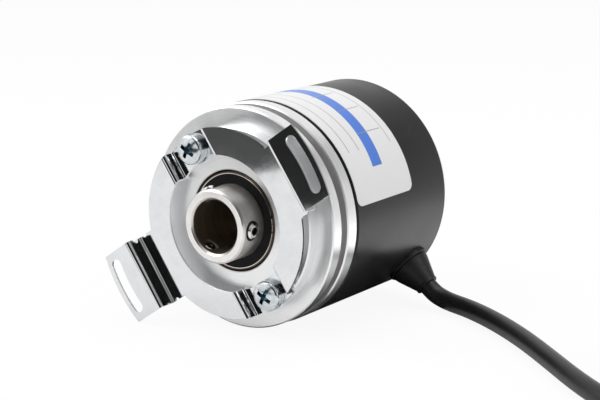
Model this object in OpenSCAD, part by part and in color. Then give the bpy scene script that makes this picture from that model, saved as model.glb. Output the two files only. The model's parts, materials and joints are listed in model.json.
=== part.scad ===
// Rotary encoder, 58 mm class, with a blind hollow shaft, a stator coupling and a free cable.
// The encoder lies on its side: the shaft axis is horizontal and its mouth faces -Y.
// Most modules are written along the shaft axis, z towards the mouth and z = 0 on the flange's
// front face, and placed() turns them into the frame of the part. Millimetres.

/* [Body] */
// Outer diameter of the flange lip and of the cover
body_d = 58; // [57:0.5:60]
// Distance from the flange's front face to the cover's back face
body_l = 53; // [52:0.5:70]
// Wall of the cover
cover_wall = 1.6; // [1.2:0.1:1.6]
// How far the encoder is rolled about its shaft, so that a coupling tab comes down to the floor
roll = 35; // [0:1:45]

/* [Flange] */
// Diameter of the raised boss on the front
boss_d = 48; // [46:0.5:50]
// Height of the raised boss
boss_h = 3.3; // [2.8:0.1:3.3]
// Diameter of the narrow rim in front of the servo groove
rim_d = 57.4; // [56.4:0.1:57.4]
// Diameter at the bottom of the servo groove
groove_d = 53.6; // [53:0.2:55]

/* [Shaft] */
// Bore of the hollow shaft
bore_d = 14; // [10:0.5:14]
// How far the shaft's mouth stands in front of the flange face
shaft_out = 11; // [10.5:0.1:12]
// Diameter of the collar that holds the set screws
collar_d = 19; // [18.6:0.1:19]
// Angle of the first of the three set screws
set_screw_at = -37; // [-60:1:0]

/* [Coupling] */
// Thickness of the spring steel sheet
sheet = 0.5; // [0.4:0.05:0.5]
// Outer diameter of the coupling's ring
ring_d = 49.2; // [48:0.2:50]
// Inner diameter of the coupling's ring
ring_hole_d = 35.2; // [34:0.2:36]
// Diameter across the outer edges of the two tabs
tab_d = 76; // [74:0.5:76]
// Width of a tab
tab_w = 19.2; // [18:0.2:20]
// Pitch circle of the two curved slots
slot_pcd = 70; // [69:0.5:70]
// Width of a slot
slot_w = 3.2; // [3:0.1:3.4]
// Half of the angle between the end centres of a slot
slot_half = 10; // [8:0.5:10]

/* [Cable] */
// Diameter of the cable
cable_d = 5; // [4.8:0.1:5]
// Angle round the shaft at which the gland leaves the cover
gland_at = -73.7; // [-80:0.1:-70]

/* [Label] */
// Angle of the label's lower edge
label_from = -25.5; // [-30:0.5:0]
// Angle that the label covers
label_span = 120.5; // [60:0.5:150]

/* [Hidden] */
$fn = 96;
eps = 0.01;
body_r = body_d / 2;
inner_r = body_r - cover_wall;
back_z = -body_l;

// Flange
rim_back = -3.35;
lip_front = -5.9;
lip_back = -9.9;
spigot_r = inner_r - 0.1;
spigot_in = spigot_r - 2.1;
spigot_back = -15.4;
pocket_z = -7.4;
hub_r = 15.5;
hub_back = -16.4;
oring_groove_r = 25.9;
oring_groove_l = 1.8;
cover_front = -10.4;

// Bearings: 17 x 26 x 5
race_out_r = 13;
race_in_r = 8.5;
race_l = 5;
ball_pitch = 10.75;
ball_r = 1.5;
track_r = 1.58;
balls = 14;
outer_land = 11.9;
inner_land = 9.6;
seal_t = 0.45;
front_bearing_z = 0.6;
rear_bearing_z = -13.5;
shoulder_r = 11.9;
washer_gap = 0.5;

// Shaft
bore_r = bore_d / 2;
bore_bottom = -16;
collar_back = front_bearing_z + race_l / 2;
set_screw_z = 7.6;
set_screw_r = 2;
set_screws = [for (k = [0:2]) set_screw_at + 120 * k];
circlip_z = rear_bearing_z - race_l / 2;
circlip_t = 1;
circlip_groove_r = 8;
shaft_back = -18;
tail_r = 5;
tail_back = -21.9;

// Code disc and its hub
hub_plate_r = 9;
disc_front = -21.2;
disc_t = 0.8;
disc_r = 19;
clamp_t = 0.8;
clamp_r = 7.6;
track_pitch_r = 17.4;

// Board, with the optics and the header on it
board_front = -25.2;
board_t = 1.6;
board_back = board_front - board_t;
board_r = 26.4;
pillar_r = 2.5;
pillar_at = [-10, 110, 230];
pillar_pcr = 22.3;
optics_at = 50;

lamp_r = 1.4;
lamp_z = -16.6;
lamp_back = -13.2;
lens_r = 1.58;
lens_z = -20.2;
lens_seat = -18.4;
lead_x = 20;
lead_y = 2.6;
header_x = 14;
header_l = 16;
pin_pitch = 2;
plug_back = board_back - 8.5;

// Screws of the coupling
screw_pcr = 21;
m3 = 1.5;
m4 = 2;
pad_top = boss_h + sheet;
washer_t = 0.3;
spring_washer_t = 0.5;
head_z = pad_top + washer_t + spring_washer_t;

// Bends of the coupling sheet: how far out each step rises, and the levels between the steps
step_in = 7.3;
step_out = 27.6;
ring_level = 6.7;
tab_level = 11.7;
bend_r = 0.7;

// Gland and the cable's route, in the frame of the part
gland_z = -44.1;
gland_tip = 37.2;
jacket_end = 19;
cable_r = cable_d / 2;
floor_z = -body_r;
exit_angle = gland_at + roll;
exit_at = [gland_tip * cos(exit_angle), -gland_z, gland_tip * sin(exit_angle)];
route = [
    [31.5, 44, -25], [34.5, 43.7, -26], [38, 43, -26.4], [43, 41.5, -26.5],
    [50, 38.2, -26.5], [58, 33.5, -26.5], [66, 28, -26.5], [74, 21.8, -26.5], [82, 15.2, -26.5],
    [90, 8.6, -26.5], [98, 2.6, -26.5], [106, -2.4, -26.5], [114, -6, -26.5]
];
coil_at = [133, 26];
coil_mid_r = 30;
coil_tracks = 3;
coil_layers = 3;
coil_w = coil_tracks * cable_d;
coil_h = coil_layers * cable_d;
tie_at = 150;
// From the top of the coil down into its hole: x and y from the coil's centre, z from the floor
tail = [
    [24, 2.1, 12.5], [20.3, 7.4, 12.5], [16.2, 11.3, 12.4], [12.2, 14.6, 12.2], [6.5, 17.9, 11.6],
    [0, 19, 10.4],
    [-6.5, 17.9, 8.7], [-12.2, 14.6, 6.8], [-16.5, 9.5, 5], [-18.7, 3.3, 3.6], [-18.7, -3.3, 2.7],
    [-16.4, -9.4, 2.5], [-11.8, -13.8, 2.5], [-7, -15.5, 2.5]
];

// ---- shared shapes ----

// From shaft coordinates (z towards the mouth) into the frame of the part
module placed() {
    rotate([90, 0, 0])
        rotate([0, 0, roll])
            children();
}

// Children at an angle round the shaft axis
module around(angle) {
    rotate([0, 0, angle])
        children();
}

// A ring about the shaft axis, from z0 up to z1
module ring(r_in, r_out, z0, z1) {
    translate([0, 0, z0])
        rotate_extrude()
            translate([r_in, 0])
                square([r_out - r_in, z1 - z0]);
}

// A disc or rod about the shaft axis, from z0 up to z1
module rod(r, z0, z1) {
    translate([0, 0, z0])
        cylinder(r = r, h = z1 - z0);
}

// Children with their z axis turned outwards along the x axis of the shaft frame
module outward(z) {
    translate([0, 0, z])
        rotate([0, 90, 0])
            children();
}

// A box centred in x and y, from z0 up to z1
module block(size_x, size_y, z0, z1) {
    translate([-size_x / 2, -size_y / 2, z0])
        cube([size_x, size_y, z1 - z0]);
}

// A cross recess for a screw head whose top is at z = 0, cut downwards
module cross_recess(length, depth) {
    for (a = [0, 90])
        rotate([0, 0, a])
            block(length, length * 0.24, -depth, 1);
    translate([0, 0, -depth * 1.3])
        cylinder(r1 = 0.1, r2 = length * 0.22, h = depth * 1.3 + eps);
}

function unit(v) = v / norm(v);
function along(path, i) = unit(path[min(i + 1, len(path) - 1)] - path[max(i - 1, 0)]);
function ring_points(path, i, r, sides, across) =
    let (t = along(path, i), side = unit(cross(t, across)), up = cross(side, t))
    [for (k = [0:sides - 1]) path[i] + r * (cos(360 * k / sides) * side + sin(360 * k / sides) * up)];

// A tube of few sides that follows a path, which never runs in the direction called across
module swept(path, r, sides, across = [0, 0, 1]) {
    points = [for (i = [0:len(path) - 1]) each ring_points(path, i, r, sides, across)];
    last = (len(path) - 1) * sides;
    walls = [
        for (i = [0:len(path) - 2], k = [0:sides - 1])
            let (a = i * sides + k, b = i * sides + (k + 1) % sides)
            [a, b, b + sides, a + sides]
    ];
    caps = [[for (k = [sides - 1:-1:0]) k], [for (k = [0:sides - 1]) last + k]];
    polyhedron(points = points, faces = concat(walls, caps));
}

// ---- flange ----

module flange_section() {
    chamfer = 0.35;
    polygon([
        [race_out_r, hub_back], [race_out_r, rear_bearing_z + race_l / 2 + washer_gap],
        [shoulder_r, rear_bearing_z + race_l / 2 + washer_gap],
        [shoulder_r, front_bearing_z - race_l / 2], [race_out_r, front_bearing_z - race_l / 2],
        [race_out_r, boss_h - chamfer], [race_out_r + chamfer, boss_h],
        [boss_d / 2 - chamfer, boss_h], [boss_d / 2, boss_h - chamfer], [boss_d / 2, 0],
        [rim_d / 2 - chamfer, 0], [rim_d / 2, -chamfer],
        [rim_d / 2, rim_back], [groove_d / 2, rim_back], [groove_d / 2, lip_front],
        [body_r - chamfer, lip_front], [body_r, lip_front - chamfer],
        [body_r, lip_back + chamfer], [body_r - chamfer, lip_back],
        [oring_groove_r, lip_back], [oring_groove_r, lip_back - oring_groove_l],
        [spigot_r, lip_back - oring_groove_l],
        [spigot_r, spigot_back], [spigot_in, spigot_back],
        [spigot_in, pocket_z], [hub_r, pocket_z], [hub_r, hub_back]
    ]);
}

module flange() {
    color("gainsboro")
        placed()
            difference() {
                rotate_extrude()
                    flange_section();
                for (a = [90, 270])
                    around(a)
                        translate([screw_pcr, 0, 0])
                            rod(m4, -5, boss_h + 1);
                for (a = pillar_at)
                    around(a)
                        translate([pillar_pcr, 0, 0])
                            rod(m3, pocket_z - 1, pocket_z + 4.2);
                around(optics_at)
                    for (y = [-2, 2])
                        translate([18.2, y, 0])
                            rod(0.8, pocket_z - 1, pocket_z + 3);
            }
}

// ---- stator coupling ----

// Quarter of a bend in the profile: the sheet between the inner and the outer bend radius
module bend(x, z, qx, qz) {
    translate([x, z])
        intersection() {
            difference() {
                circle(r = bend_r + sheet);
                circle(r = bend_r);
            }
            translate([qx > 0 ? 0 : -5, qz > 0 ? 0 : -5])
                square(5);
        }
}

// A step at x = at that rises from the lower level to the upper one, with a bend at each end
module sheet_step(at, low, high) {
    bend(at - sheet / 2 - bend_r, low + sheet + bend_r, 1, -1);
    bend(at + sheet / 2 + bend_r, high - bend_r, -1, 1);
    translate([at - sheet / 2, low + sheet + bend_r])
        square([sheet, high - low - sheet - 2 * bend_r]);
}

// Flat run of the sheet from x0 to x1 with its underside at the level
module sheet_run(x0, x1, level) {
    translate([x0, level])
        square([x1 - x0, sheet]);
}

module coupling_profile() {
    reach = sheet / 2 + bend_r;
    for (m = [0, 1])
        mirror([m, 0]) {
            sheet_run(-eps, step_in - reach, boss_h);
            sheet_step(step_in, boss_h, ring_level);
            sheet_run(step_in + reach, step_out - reach, ring_level);
            sheet_step(step_out, ring_level, tab_level);
            sheet_run(step_out + reach, tab_d / 2 + 1, tab_level);
        }
}

module curved_slot() {
    intersection() {
        difference() {
            circle(r = slot_pcd / 2 + slot_w / 2);
            circle(r = slot_pcd / 2 - slot_w / 2);
        }
        polygon([
            [0, 0],
            50 * [cos(slot_half), -sin(slot_half)], 50 * [cos(slot_half), sin(slot_half)]
        ]);
    }
    for (a = [-slot_half, slot_half])
        rotate(a)
            translate([slot_pcd / 2, 0])
                circle(d = slot_w);
}

module coupling_outline() {
    notch_r = 0.7;
    difference() {
        union() {
            circle(d = ring_d);
            intersection() {
                circle(d = tab_d);
                square([tab_d, tab_w], center = true);
            }
        }
        circle(d = ring_hole_d);
        for (a = [0, 180])
            rotate(a)
                curved_slot();
        for (y = [-screw_pcr, screw_pcr])
            translate([0, y])
                circle(r = m4 + 0.2);
        for (x = [-1, 1], y = [-1, 1])
            translate([x * (step_out - 2), y * tab_w / 2])
                circle(r = notch_r);
    }
}

module stator_coupling() {
    color("lightsteelblue")
        placed()
            intersection() {
                rotate([90, 0, 0])
                    linear_extrude(height = ring_d + 4, center = true)
                        coupling_profile();
                linear_extrude(height = 20)
                    coupling_outline();
            }
}

module at_coupling_screws() {
    for (a = [90, 270])
        around(a)
            translate([screw_pcr, 0, 0])
                rotate([0, 0, 27])
                    children();
}

// A pan head: a low dome that runs into a rounded shoulder, with both arcs tangent where they meet
module pan_head(head_r, head_h) {
    shoulder_r = 0.9;
    dome_r = 9;
    steps = 8;
    lean = asin((head_r - shoulder_r) / (dome_r - shoulder_r));
    dome_z = head_h - dome_r;
    shoulder_z = dome_z + (dome_r - shoulder_r) * cos(lean);
    shoulder = [
        for (k = [0:steps])
            let (a = (90 - lean) * k / steps)
            [head_r - shoulder_r + shoulder_r * cos(a), shoulder_z + shoulder_r * sin(a)]
    ];
    dome = [
        for (k = [1:steps])
            let (a = lean * (1 - k / steps))
            [dome_r * sin(a), dome_z + dome_r * cos(a)]
    ];
    rotate_extrude()
        polygon(concat([[0, 0], [head_r, 0]], shoulder, dome));
}

module coupling_screws() {
    head_r = 3.9;
    head_h = 2.2;
    color("lightcyan")
        placed()
            at_coupling_screws()
                difference() {
                    union() {
                        rod(m4, -4, head_z + eps);
                        translate([0, 0, head_z])
                            pan_head(head_r, head_h);
                    }
                    translate([0, 0, head_z + head_h])
                        cross_recess(4.4, 1.2);
                }
}

module coupling_spring_washers() {
    color("silver")
        placed()
            at_coupling_screws()
                translate([0, 0, pad_top + washer_t])
                    rotate_extrude(angle = 350)
                        translate([m4 + 0.1, 0])
                            square([1.7, spring_washer_t]);
}

module coupling_washers() {
    color("silver")
        placed()
            at_coupling_screws()
                ring(m4 + 0.1, 4, pad_top, pad_top + washer_t);
}

// ---- shaft ----

module shaft_section() {
    chamfer = 0.5;
    polygon([
        [0, bore_bottom], [bore_r, bore_bottom],
        [bore_r, shaft_out - chamfer], [bore_r + chamfer, shaft_out],
        [collar_d / 2 - chamfer, shaft_out], [collar_d / 2, shaft_out - chamfer],
        [collar_d / 2, collar_back], [race_in_r, collar_back],
        [race_in_r, circlip_z], [circlip_groove_r, circlip_z],
        [circlip_groove_r, circlip_z - circlip_t - 0.1], [race_in_r, circlip_z - circlip_t - 0.1],
        [race_in_r, shaft_back], [tail_r, shaft_back], [tail_r, tail_back], [0, tail_back]
    ]);
}

module hollow_shaft() {
    color("rosybrown")
        placed()
            difference() {
                rotate_extrude()
                    shaft_section();
                for (a = set_screws)
                    around(a)
                        outward(set_screw_z) {
                            rod(set_screw_r, 4, 12);
                            translate([0, 0, collar_d / 2 - 0.6])
                                cylinder(r1 = set_screw_r, r2 = set_screw_r + 0.7, h = 0.7);
                        }
                rod(1.25, tail_back - 1, -18.7);
            }
}

module shaft_set_screws() {
    inner = bore_r + 0.15;
    outer = inner + 2.95;
    chamfer = 0.45;
    color("silver")
        placed()
            for (a = set_screws)
                around(a)
                    outward(set_screw_z)
                        difference() {
                            rotate_extrude()
                                polygon([
                                    [0, inner + 0.5], [0.7, inner], [1.3, inner],
                                    [set_screw_r, inner + 0.6], [set_screw_r, outer - chamfer],
                                    [set_screw_r - chamfer, outer], [0, outer]
                                ]);
                            translate([0, 0, outer - 1.8])
                                cylinder(d = 2.31, h = 3, $fn = 6);
                        }
}

module race_spacer() {
    color("darkgray")
        placed()
            ring(race_in_r, 9.5, rear_bearing_z + race_l / 2, front_bearing_z - race_l / 2);
}

module shaft_circlip() {
    gap = 40;
    color("dimgray")
        placed()
            around(60)
                translate([0, 0, circlip_z - circlip_t]) {
                    rotate_extrude(angle = 360 - gap)
                        translate([circlip_groove_r, 0])
                            square([1.3, circlip_t]);
                    for (a = [4, 360 - gap - 4])
                        around(a)
                            translate([circlip_groove_r + 1.2, 0, 0])
                                difference() {
                                    cylinder(r = 1.2, h = circlip_t);
                                    translate([0, 0, -1])
                                        cylinder(r = 0.55, h = 3);
                                }
                }
}

// ---- bearings, each written about its own middle ----

module outer_race() {
    chamfer = 0.35;
    half = race_l / 2;
    rotate_extrude()
        difference() {
            polygon([
                [outer_land, -half + seal_t + 0.1], [outer_land + 0.25, -half + seal_t + 0.1],
                [outer_land + 0.25, -half], [race_out_r - chamfer, -half],
                [race_out_r, -half + chamfer], [race_out_r, half - chamfer],
                [race_out_r - chamfer, half], [outer_land + 0.25, half],
                [outer_land + 0.25, half - seal_t - 0.1], [outer_land, half - seal_t - 0.1]
            ]);
            translate([ball_pitch, 0])
                circle(r = track_r);
        }
}

module inner_race() {
    chamfer = 0.05;
    half = race_l / 2;
    rotate_extrude()
        difference() {
            polygon([
                [race_in_r, -half], [inner_land - chamfer, -half], [inner_land, -half + chamfer],
                [inner_land, half - chamfer], [inner_land - chamfer, half], [race_in_r, half]
            ]);
            translate([ball_pitch, 0])
                circle(r = track_r);
        }
}

module ball_set(r) {
    for (k = [0:balls - 1])
        around(360 * k / balls)
            translate([ball_pitch, 0, 0])
                sphere(r = r);
}

module ball_cage() {
    difference() {
        ring(10.2, 11.3, -1.2, 1.7);
        ball_set(ball_r + 0.06);
    }
}

module seals() {
    half = race_l / 2;
    for (z = [-half + 0.1, half - 0.1 - seal_t])
        ring(inner_land + 0.1, outer_land + 0.25, z, z + seal_t);
}

module in_front_bearing() {
    placed()
        translate([0, 0, front_bearing_z])
            children();
}

module in_rear_bearing() {
    placed()
        translate([0, 0, rear_bearing_z])
            children();
}

module front_bearing_outer_race() {
    color("lightgray") in_front_bearing() outer_race();
}

module front_bearing_inner_race() {
    color("lightgray") in_front_bearing() inner_race();
}

module front_bearing_balls() {
    color("white") in_front_bearing() ball_set(ball_r);
}

module front_bearing_cage() {
    color("peru") in_front_bearing() ball_cage();
}

module front_bearing_seals() {
    color([0.06, 0.06, 0.06]) in_front_bearing() seals();
}

module rear_bearing_outer_race() {
    color("lightgray") in_rear_bearing() outer_race();
}

module rear_bearing_inner_race() {
    color("lightgray") in_rear_bearing() inner_race();
}

module rear_bearing_balls() {
    color("white") in_rear_bearing() ball_set(ball_r);
}

module rear_bearing_cage() {
    color("peru") in_rear_bearing() ball_cage();
}

module rear_bearing_seals() {
    color([0.06, 0.06, 0.06]) in_rear_bearing() seals();
}

// Wave washer that loads the rear bearing's outer race: three waves round a thin ring
module preload_washer() {
    steps = 48;
    wave = 0.1;
    half_t = 0.13;
    r_in = 12;
    r_out = 12.9;
    middle = rear_bearing_z + race_l / 2 + washer_gap / 2;
    points = [
        for (k = [0:steps - 1])
            let (a = 360 * k / steps, z = middle + wave * sin(3 * a), c = [cos(a), sin(a)])
            each [
                [r_in * c[0], r_in * c[1], z - half_t], [r_out * c[0], r_out * c[1], z - half_t],
                [r_out * c[0], r_out * c[1], z + half_t], [r_in * c[0], r_in * c[1], z + half_t]
            ]
    ];
    faces = [
        for (k = [0:steps - 1], j = [0:3])
            let (a = 4 * k, b = 4 * ((k + 1) % steps), n = (j + 1) % 4)
            [a + j, b + j, b + n, a + n]
    ];
    color("slategray")
        placed()
            polyhedron(points = points, faces = faces);
}

// ---- code disc ----

module disc_hub() {
    color("silver")
        placed()
            ring(tail_r, hub_plate_r, disc_front, shaft_back);
}

module code_disc() {
    color("lightblue")
        placed()
            ring(tail_r, disc_r, disc_front - disc_t, disc_front);
}

module disc_clamp() {
    color("silver")
        placed()
            ring(1.3, clamp_r, disc_front - disc_t - clamp_t, disc_front - disc_t);
}

module disc_screw() {
    seat = disc_front - disc_t - clamp_t;
    color("silver")
        placed()
            mirror([0, 0, 1])
                difference() {
                    union() {
                        rod(1.25, 18.9, -seat + eps);
                        rod(2.2, -seat, -seat + 1.5);
                    }
                    translate([0, 0, -seat + 1.5])
                        cross_recess(2.4, 0.8);
                }
}

// ---- optics, at their angle round the shaft, with the track's radius along x ----

module at_optics() {
    placed()
        around(optics_at)
            children();
}

module lamp_holder() {
    color([0.12, 0.12, 0.13])
        at_optics()
            difference() {
                union() {
                    translate([18.2, 0, 0])
                        block(4.8, 7, lens_z, pocket_z);
                    for (y = [-2, 2])
                        translate([18.2, y, 0])
                            rod(0.75, pocket_z - eps, pocket_z + 2.6);
                }
                translate([track_pitch_r, 0, 0]) {
                    rod(lens_r + 0.02, lens_z - 1, lens_seat);
                    rod(lamp_r + 0.02, lens_seat - 1, lamp_back);
                }
                for (y = [-lead_y, lead_y])
                    translate([lead_x, y, 0])
                        rod(0.35, lens_z - 1, -12);
            }
}

module lamp() {
    color("lavender")
        at_optics()
            translate([track_pitch_r, 0, 0]) {
                rod(lamp_r, lamp_z, lamp_back);
                translate([0, 0, lamp_z])
                    intersection() {
                        sphere(r = lamp_r);
                        rod(lamp_r, -2, eps);
                    }
            }
}

module lamp_lens() {
    dome_r = 3.2;
    color("azure")
        at_optics()
            translate([track_pitch_r, 0, 0])
                intersection() {
                    rod(lens_r, lens_z, lens_seat);
                    translate([0, 0, lens_z + dome_r])
                        sphere(r = dome_r);
                }
}

module lamp_leads() {
    color("goldenrod")
        at_optics()
            for (y = [-lead_y, lead_y])
                translate([lead_x, y, 0])
                    rod(0.3, board_back - 0.6, -14);
}

module sensor_chip() {
    color([0.1, 0.1, 0.1])
        at_optics()
            translate([track_pitch_r, 0, 0])
                difference() {
                    block(4.2, 6.4, board_front, board_front + 2);
                    block(2.8, 3.6, board_front + 1.6, board_front + 3);
                }
}

module sensor_mask() {
    color("lightskyblue")
        at_optics()
            translate([track_pitch_r, 0, 0])
                block(3.6, 5, board_front + 2, board_front + 2.4);
}

// ---- board and what is on it ----

module main_board() {
    color("darkgreen")
        placed()
            difference() {
                rod(board_r, board_back, board_front);
                rod(4.5, board_back - 1, board_front + 1);
                for (a = pillar_at)
                    around(a)
                        translate([pillar_pcr, 0, 0])
                            rod(m3 + 0.05, board_back - 1, board_front + 1);
                around(optics_at)
                    for (y = [-lead_y, lead_y])
                        translate([lead_x, y, 0])
                            rod(0.4, board_back - 1, board_front + 1);
            }
}

// A chip with two rows of legs, standing back from the board's rear face
module legged_chip(length, width, height, legs, pitch) {
    block(length, width, board_back - height - 0.1, board_back - 0.1);
    for (k = [0:legs - 1], side = [-1, 1])
        translate([(k - (legs - 1) / 2) * pitch, side * (width / 2 + 0.6), 0])
            block(0.42, 1.2, board_back - 0.3, board_back);
}

module driver_chip() {
    color([0.1, 0.1, 0.1])
        placed()
            around(170)
                translate([14.5, 0, 0])
                    rotate([0, 0, 90])
                        legged_chip(10, 5.2, 1.8, 8, 1.27);
}

module regulator_chip() {
    color([0.1, 0.1, 0.1])
        placed()
            around(70)
                translate([15, 0, 0])
                    legged_chip(6.5, 3.5, 1.6, 4, 1.5);
}

module board_capacitors() {
    color("silver")
        placed() {
            for (a = [30, 130])
                around(a)
                    translate([15.5, 0, 0]) {
                        rod(3.1, board_back - 5.6, board_back - 0.8);
                        block(6.6, 6.6, board_back - 0.8, board_back);
                    }
            for (a = [200, 212, 224, 90, 104])
                around(a)
                    translate([11, 0, 0])
                        block(1, 2, board_back - 0.8, board_back);
        }
}

// Children at the angle of the gland, where the header stands too
module at_header() {
    placed()
        around(gland_at)
            children();
}

module board_header() {
    color("ivory")
        at_header()
            translate([header_x, 0, 0]) {
                difference() {
                    block(5.8, header_l, board_back - 7, board_back);
                    block(4.2, header_l - 1.6, board_back - 8, board_back - 1.2);
                }
                for (k = [-2.5:2.5])
                    translate([0, k * pin_pitch, 0])
                        block(0.5, 0.5, board_back - 5, board_back - 1.2);
            }
}

module header_plug() {
    color("white")
        at_header()
            translate([header_x, 0, 0])
                difference() {
                    block(4.1, header_l - 1.8, plug_back, board_back - 2);
                    for (k = [-2.5:2.5])
                        translate([0, k * pin_pitch, 0])
                            block(0.6, 0.6, board_back - 5.1, board_back - 1);
                }
}

// Six thin wires from the plug to the end of the cable's jacket inside the cover. Each station is
// x, z, the angle that the bundle has turned outwards, and how far the wires have drawn together
// from one row at the plug into two rows of three at the jacket.
module signal_leads() {
    wire_r = 0.4;
    column = 1.2;
    row = 1.1;
    stations = [
        [header_x, plug_back, 0, 0], [header_x, plug_back - 1.5, 0, 0.1],
        [header_x, plug_back - 3.5, 8, 0.35], [header_x + 0.2, plug_back - 5.5, 20, 0.65],
        [header_x + 1.1, gland_z + 1.4, 45, 0.85], [header_x + 2.6, gland_z + 0.3, 72, 1],
        [header_x + 3.8, gland_z, 90, 1], [jacket_end, gland_z, 90, 1]
    ];
    for (i = [0:5]) {
        spread = (i - 2.5) * pin_pitch;
        drawn = (floor(i / 2) - 1) * column;
        side = (i % 2 - 0.5) * row;
        path = [
            for (s = stations)
                [
                    s[0] + side * s[3] * cos(s[2]),
                    spread * (1 - s[3]) + drawn * s[3],
                    s[1] + side * s[3] * sin(s[2])
                ]
        ];
        color(["red", "saddlebrown", "green", "gold", "white", "gray"][i])
            at_header()
                swept(path, wire_r, 8, [0, 1, 0]);
    }
}

module board_pillars() {
    color("khaki")
        placed()
            for (a = pillar_at)
                around(a)
                    translate([pillar_pcr, 0, 0])
                        difference() {
                            union() {
                                rod(pillar_r, board_front, pocket_z);
                                rod(m3, pocket_z - eps, pocket_z + 4);
                            }
                            rod(m3, board_front - 1, board_front + 5);
                        }
}

module cover_pillars() {
    color("khaki")
        placed()
            for (a = pillar_at)
                around(a)
                    translate([pillar_pcr, 0, 0])
                        difference() {
                            union() {
                                translate([0, 0, back_z + cover_wall])
                                    cylinder(d = 5.77, h = board_back - back_z - cover_wall, $fn = 6);
                                rod(m3, board_back - eps, board_front + 4.5);
                            }
                            rod(m3, back_z, back_z + 9);
                        }
}

// ---- cover, seal, label ----

module cover() {
    round_r = 1.2;
    chamfer = 0.3;
    color([0.07, 0.07, 0.075])
        placed()
            difference() {
                union() {
                    rotate_extrude()
                        polygon([
                            [0, back_z], [body_r - round_r, back_z],
                            [body_r - round_r, back_z + round_r], [body_r, back_z + round_r],
                            [body_r, cover_front - chamfer], [body_r - chamfer, cover_front],
                            [0, cover_front]
                        ]);
                    rotate_extrude()
                        translate([body_r - round_r, back_z + round_r])
                            circle(r = round_r);
                }
                rod(inner_r, back_z + cover_wall, cover_front + 1);
                around(gland_at)
                    outward(gland_z)
                        rod(4.6, 20, body_r + 2);
                for (a = pillar_at)
                    around(a)
                        translate([pillar_pcr, 0, back_z]) {
                            rod(m3 + 0.1, -1, cover_wall + 1);
                            translate([0, 0, -eps])
                                cylinder(r1 = 2.95, r2 = m3 + 0.1, h = 1.35);
                        }
            }
}

module cover_oring() {
    color([0.04, 0.04, 0.04])
        placed()
            translate([0, 0, lip_back - oring_groove_l / 2])
                rotate_extrude()
                    translate([(oring_groove_r + inner_r) / 2, 0])
                        circle(r = (inner_r - oring_groove_r) / 2, $fn = 32);
}

module cover_screws() {
    color([0.2, 0.2, 0.21])
        placed()
            for (a = pillar_at)
                around(a)
                    translate([pillar_pcr, 0, back_z])
                        difference() {
                            union() {
                                cylinder(r1 = 2.9, r2 = m3, h = 1.4);
                                rod(m3, 0, 8);
                            }
                            mirror([0, 0, 1])
                                cross_recess(3.2, 0.9);
                        }
}

// Thin film, a hair above the paint
module label() {
    label_t = 0.15;
    label_front = -10.8;
    label_back = -36;
    lift = 0.02;
    color("white")
        placed()
            around(label_from)
                translate([0, 0, label_back])
                    rotate_extrude(angle = label_span)
                        translate([body_r + lift, 0])
                            square([label_t, label_front - label_back]);
}

// ---- gland and cable ----

module at_gland() {
    placed()
        around(gland_at)
            outward(gland_z)
                children();
}

module cable_gland() {
    color([0.05, 0.05, 0.05])
        at_gland()
            difference() {
                union() {
                    intersection() {
                        rotate_extrude()
                            polygon([
                                [0, 24], [6, 24], [6, 29.5], [5.8, 29.7], [5.4, 29.7],
                                [5.55, 30], [5.3, 31], [3.35, 36], [3.2, 36.4],
                                [3.25, gland_tip - 0.2], [3.05, gland_tip], [0, gland_tip]
                            ]);
                        difference() {
                            rod(20, 24, 40);
                            rotate([0, -90, 0])
                                translate([0, 0, -20])
                                    cylinder(r = body_r, h = 40);
                        }
                    }
                    rod(4.5, 25, body_r + 0.6);
                    difference() {
                        rod(6.2, 25, body_r);
                        rotate([0, -90, 0])
                            translate([0, 0, -20])
                                difference() {
                                    cylinder(r = body_r + 9, h = 40);
                                    translate([0, 0, -1])
                                        cylinder(r = inner_r - 0.05, h = 42);
                                }
                    }
                }
                rod(cable_r + 0.02, 20, 40);
            }
}

module cable_entry() {
    color([0.04, 0.04, 0.045])
        at_gland()
            rod(cable_r, jacket_end, gland_tip);
}

module cable_crimp() {
    color("silver")
        at_gland()
            ring(cable_r + 0.02, 3.3, 21.2, 24.6);
}

module at_coil() {
    translate([coil_at[0], coil_at[1], floor_z])
        children();
}

// The two stretches that aren't coiled: from the gland to the coil, and the tail in its hole
module cable() {
    color([0.04, 0.04, 0.045]) {
        swept(concat([exit_at], route), cable_r, 12);
        at_coil()
            swept(tail, cable_r, 12);
    }
}

// The outer shape of the wound cable: a ring with a round-cornered section
module cable_coil() {
    r_in = coil_mid_r - coil_w / 2;
    color([0.04, 0.04, 0.045])
        at_coil()
            rotate_extrude() {
                translate([r_in + cable_r, 0])
                    square([coil_w - cable_d, coil_h]);
                translate([r_in, cable_r])
                    square([coil_w, coil_h - cable_d]);
                for (x = [cable_r, coil_w - cable_r], y = [cable_r, coil_h - cable_r])
                    translate([r_in + x, y])
                        circle(r = cable_r);
            }
}

// A flat strap once round the coil's turns
module cable_tie() {
    strap = 0.8;
    width = 3.6;
    head_l = 5.2;
    head_w = 4.8;
    head_h = 3.4;
    end_l = 4;
    end_z = coil_h + 1.5;
    color([0.05, 0.05, 0.05])
        at_coil()
            rotate([0, 0, tie_at])
                translate([coil_mid_r, 0, 0])
                    difference() {
                        union() {
                            block(coil_w + 2 * strap, width, 0, coil_h + strap);
                            block(head_l, head_w, coil_h, coil_h + head_h);
                            translate([(head_l + end_l) / 2, 0, 0])
                                block(end_l + 1, width, end_z, end_z + strap);
                        }
                        block(coil_w, width + 2, strap, coil_h);
                    }
}

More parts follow.
